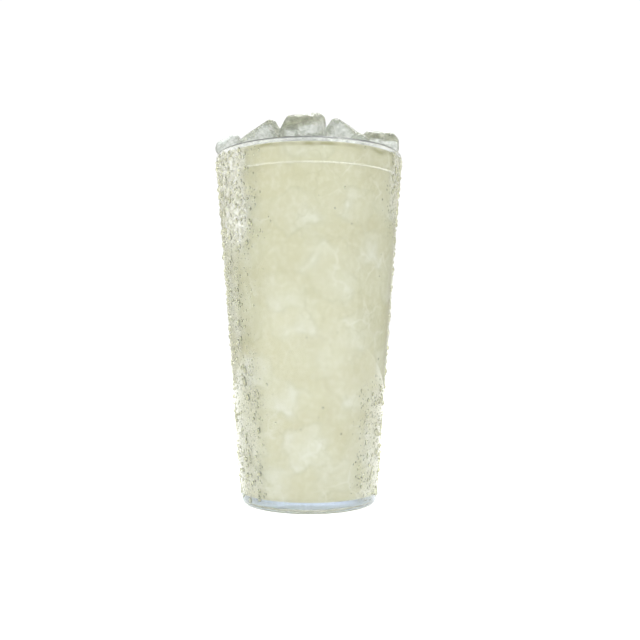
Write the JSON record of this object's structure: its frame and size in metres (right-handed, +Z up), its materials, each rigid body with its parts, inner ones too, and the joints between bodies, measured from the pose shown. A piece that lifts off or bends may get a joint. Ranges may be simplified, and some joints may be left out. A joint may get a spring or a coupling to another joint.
{
  "type": "glass of lemonade",
  "caption": "Tall tapered clear tumbler filled almost to the lip with cloudy lemonade, with ice cubes heaped above the drink.",
  "frame": {"origin": "centre of the tumbler's foot, on the surface that it stands on", "axes": "+Z up along the tumbler's axis, -Y towards the front, +X to the right"},
  "size_m": [0.087, 0.087, 0.1743],
  "materials": {
    "glass": "clear and polished, with a slight blue tint",
    "lemonade": "cloudy pale yellow drink",
    "ice": "wet, slightly frosted ice"
  },
  "bodies": {
    "root": {"tumbler": "glass", "lemonade": "lemonade", "ice_1": "ice", "ice_2": "ice", "ice_3": "ice", "ice_4": "ice", "ice_5": "ice", "ice_6": "ice", "ice_7": "ice", "ice_8": "ice", "ice_9": "ice"}
  },
  "joints": []
}
